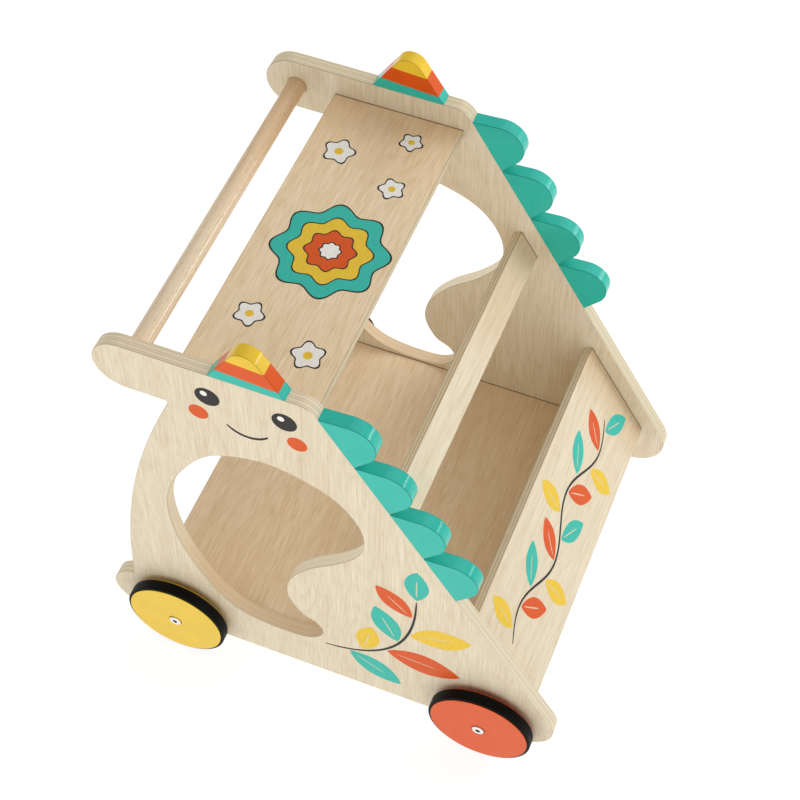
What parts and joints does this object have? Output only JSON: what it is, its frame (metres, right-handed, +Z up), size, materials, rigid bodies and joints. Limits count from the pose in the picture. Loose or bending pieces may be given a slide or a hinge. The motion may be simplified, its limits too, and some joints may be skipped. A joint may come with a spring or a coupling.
{
  "type": "baby push walker wagon",
  "caption": "Wooden push walker wagon: cut-out plywood sides with painted scales and horns, handle bar, tray, cargo bed and rubber-tyred wheels.",
  "frame": {"origin": "on the ground under the middle of the walker's bounding box", "axes": "+X the way the walker is pushed (nose end), +Y to its left, +Z up; the handle bar is at the -X end"},
  "size_m": [0.4069, 0.3588, 0.448],
  "materials": {
    "plywood_panel": "clear satin lacquer on pale birch plywood",
    "plywood_board": "clear satin lacquer on birch plywood",
    "dowel": "bare beech",
    "paint_teal": "satin teal paint on plywood",
    "paint_yellow": "satin yellow paint on plywood",
    "paint_red": "satin red paint on plywood",
    "tyre": "matt black rubber",
    "steel": "bright plated steel",
    "zinc": "zinc plated",
    "nylon": "white nylon"
  },
  "bodies": {
    "frame": {"side_panel_left": "plywood_panel", "side_panel_right": "plywood_panel", "handle_bar": "plywood_panel", "tray_board": "plywood_board", "floor_board": "plywood_board", "cross_slat": "plywood_board", "front_board": "plywood_board", "mane_scale_left_1": "paint_teal", "mane_scale_left_2": "paint_teal", "mane_scale_left_3": "paint_teal", "mane_scale_left_4": "paint_teal", "mane_scale_right_1": "paint_teal", "mane_scale_right_2": "paint_teal", "mane_scale_right_3": "paint_teal", "mane_scale_right_4": "paint_teal", "horn_left": "paint_red", "horn_right": "paint_red", "tray_pin_left_1": "dowel", "tray_pin_left_2": "dowel", "tray_pin_right_1": "dowel", "tray_pin_right_2": "dowel", "floor_pin_left_1": "dowel", "floor_pin_left_2": "dowel", "floor_pin_right_1": "dowel", "floor_pin_right_2": "dowel", "slat_pin_left_1": "dowel", "slat_pin_left_2": "dowel", "slat_pin_right_1": "dowel", "slat_pin_right_2": "dowel", "front_pin_left_1": "dowel", "front_pin_left_2": "dowel", "front_pin_right_1": "dowel", "front_pin_right_2": "dowel", "axle_bolt_rear_left": "steel", "axle_spacer_rear_left": "nylon", "tee_nut_rear_left": "zinc", "axle_bolt_rear_right": "steel", "axle_spacer_rear_right": "nylon", "tee_nut_rear_right": "zinc", "axle_bolt_front_left": "steel", "axle_spacer_front_left": "nylon", "tee_nut_front_left": "zinc", "axle_bolt_front_right": "steel", "axle_spacer_front_right": "nylon", "tee_nut_front_right": "zinc"},
    "wheel_rear_left": {"wheel_disc_rear_left": "paint_yellow", "tyre_rear_left": "tyre"},
    "wheel_rear_right": {"wheel_disc_rear_right": "paint_yellow", "tyre_rear_right": "tyre"},
    "wheel_front_left": {"wheel_disc_front_left": "paint_red", "tyre_front_left": "tyre"},
    "wheel_front_right": {"wheel_disc_front_right": "paint_red", "tyre_front_right": "tyre"}
  },
  "joints": [
    {"name": "rear_left_axle", "type": "hinge", "parent": "frame", "child": "wheel_rear_left", "pos_m": [-0.1375, 0.172, 0.0455], "axis": [0, 1, 0], "continuous": true},
    {"name": "rear_right_axle", "type": "hinge", "parent": "frame", "child": "wheel_rear_right", "pos_m": [-0.1375, -0.172, 0.0455], "axis": [0, 1, 0], "continuous": true},
    {"name": "front_left_axle", "type": "hinge", "parent": "frame", "child": "wheel_front_left", "pos_m": [0.1435, 0.172, 0.0455], "axis": [0, 1, 0], "continuous": true},
    {"name": "front_right_axle", "type": "hinge", "parent": "frame", "child": "wheel_front_right", "pos_m": [0.1435, -0.172, 0.0455], "axis": [0, 1, 0], "continuous": true}
  ]
}
